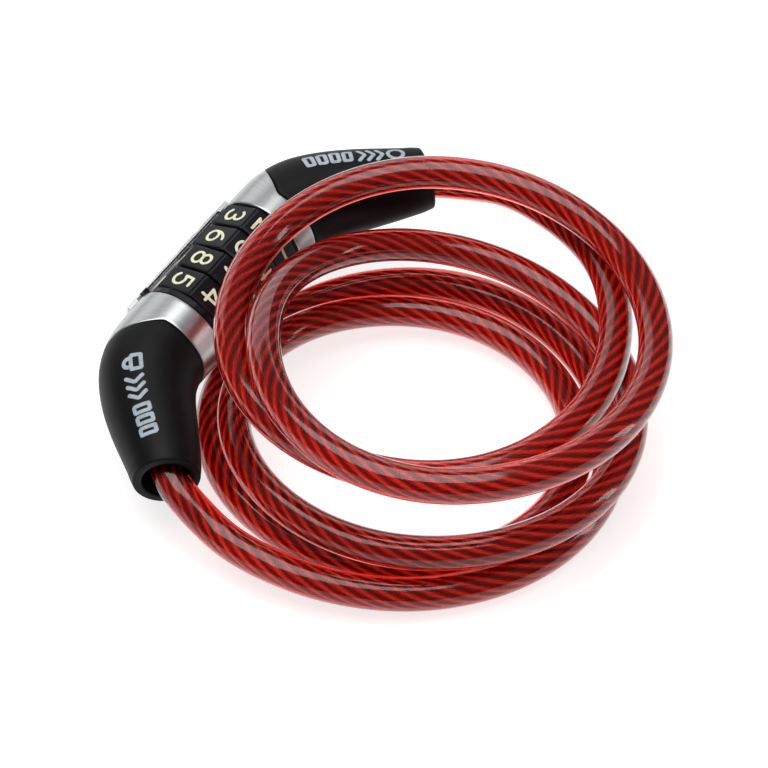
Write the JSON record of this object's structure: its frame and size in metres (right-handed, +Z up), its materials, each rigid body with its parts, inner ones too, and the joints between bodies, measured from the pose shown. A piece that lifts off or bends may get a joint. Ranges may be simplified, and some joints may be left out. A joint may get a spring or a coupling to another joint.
{
  "type": "cable lock",
  "caption": "Coiled bicycle cable lock: a sheathed wire rope in loops joins a plug to a combination barrel with turning dials.",
  "frame": {"origin": "on the table, at the middle of the footprint (bottom centre of the bounding box)", "axes": "+Z up, +Y away from the plug's mouth, the barrel lies on the coil's -X side and points about 57 degrees round from +X"},
  "size_m": [0.1312, 0.1258, 0.0444],
  "materials": {
    "cap": "soft-touch black with a faint sheen",
    "dial": "semi-matte moulded black, cream filled characters",
    "satin_metal": "satin, brushed round the barrel",
    "steel": "machined",
    "spring_steel": "bright wire and strip",
    "sheath": "clear red vinyl",
    "rope": "galvanised strands"
  },
  "bodies": {
    "lock_body": {"rear_cap": "cap", "rear_collar": "satin_metal", "front_collar": "satin_metal", "inner_sleeve": "steel", "index_bar": "satin_metal", "detent_spring": "spring_steel", "reset_spring": "spring_steel", "rear_ferrule": "steel", "rear_cap_pin": "steel", "cable_sheath": "sheath", "cable_rope": "rope"},
    "dial_1_turns": {"dial_1": "dial", "clutch_ring_1": "steel"},
    "dial_2_turns": {"dial_2": "dial", "clutch_ring_2": "steel"},
    "dial_3_turns": {"dial_3": "dial", "clutch_ring_3": "steel"},
    "dial_4_turns": {"dial_4": "dial", "clutch_ring_4": "steel"},
    "reset": {"reset_ring": "dial"},
    "plug": {"plug_shank": "steel", "front_cap": "cap", "front_ferrule": "steel", "front_cap_pin": "steel", "plug_cable_sheath": "sheath", "plug_cable_rope": "rope"}
  },
  "joints": [
    {"name": "dial_1_spin", "type": "hinge", "parent": "lock_body", "child": "dial_1_turns", "pos_m": [-0.03851, 0.02299, 0.02267], "axis": [0.5417, 0.8341, 0.1045], "continuous": true},
    {"name": "dial_2_spin", "type": "hinge", "parent": "lock_body", "child": "dial_2_turns", "pos_m": [-0.03851, 0.02299, 0.02267], "axis": [0.5417, 0.8341, 0.1045], "continuous": true},
    {"name": "dial_3_spin", "type": "hinge", "parent": "lock_body", "child": "dial_3_turns", "pos_m": [-0.03851, 0.02299, 0.02267], "axis": [0.5417, 0.8341, 0.1045], "continuous": true},
    {"name": "dial_4_spin", "type": "hinge", "parent": "lock_body", "child": "dial_4_turns", "pos_m": [-0.03851, 0.02299, 0.02267], "axis": [0.5417, 0.8341, 0.1045], "continuous": true},
    {"name": "reset_turn", "type": "hinge", "parent": "lock_body", "child": "reset", "pos_m": [-0.03851, 0.02299, 0.02267], "axis": [0.5417, 0.8341, 0.1045], "range_deg": [0, 90]},
    {"name": "plug_slide", "type": "slide", "parent": "lock_body", "child": "plug", "axis": [-0.5417, -0.8341, -0.1045], "range_m": [0, 0.042]}
  ]
}
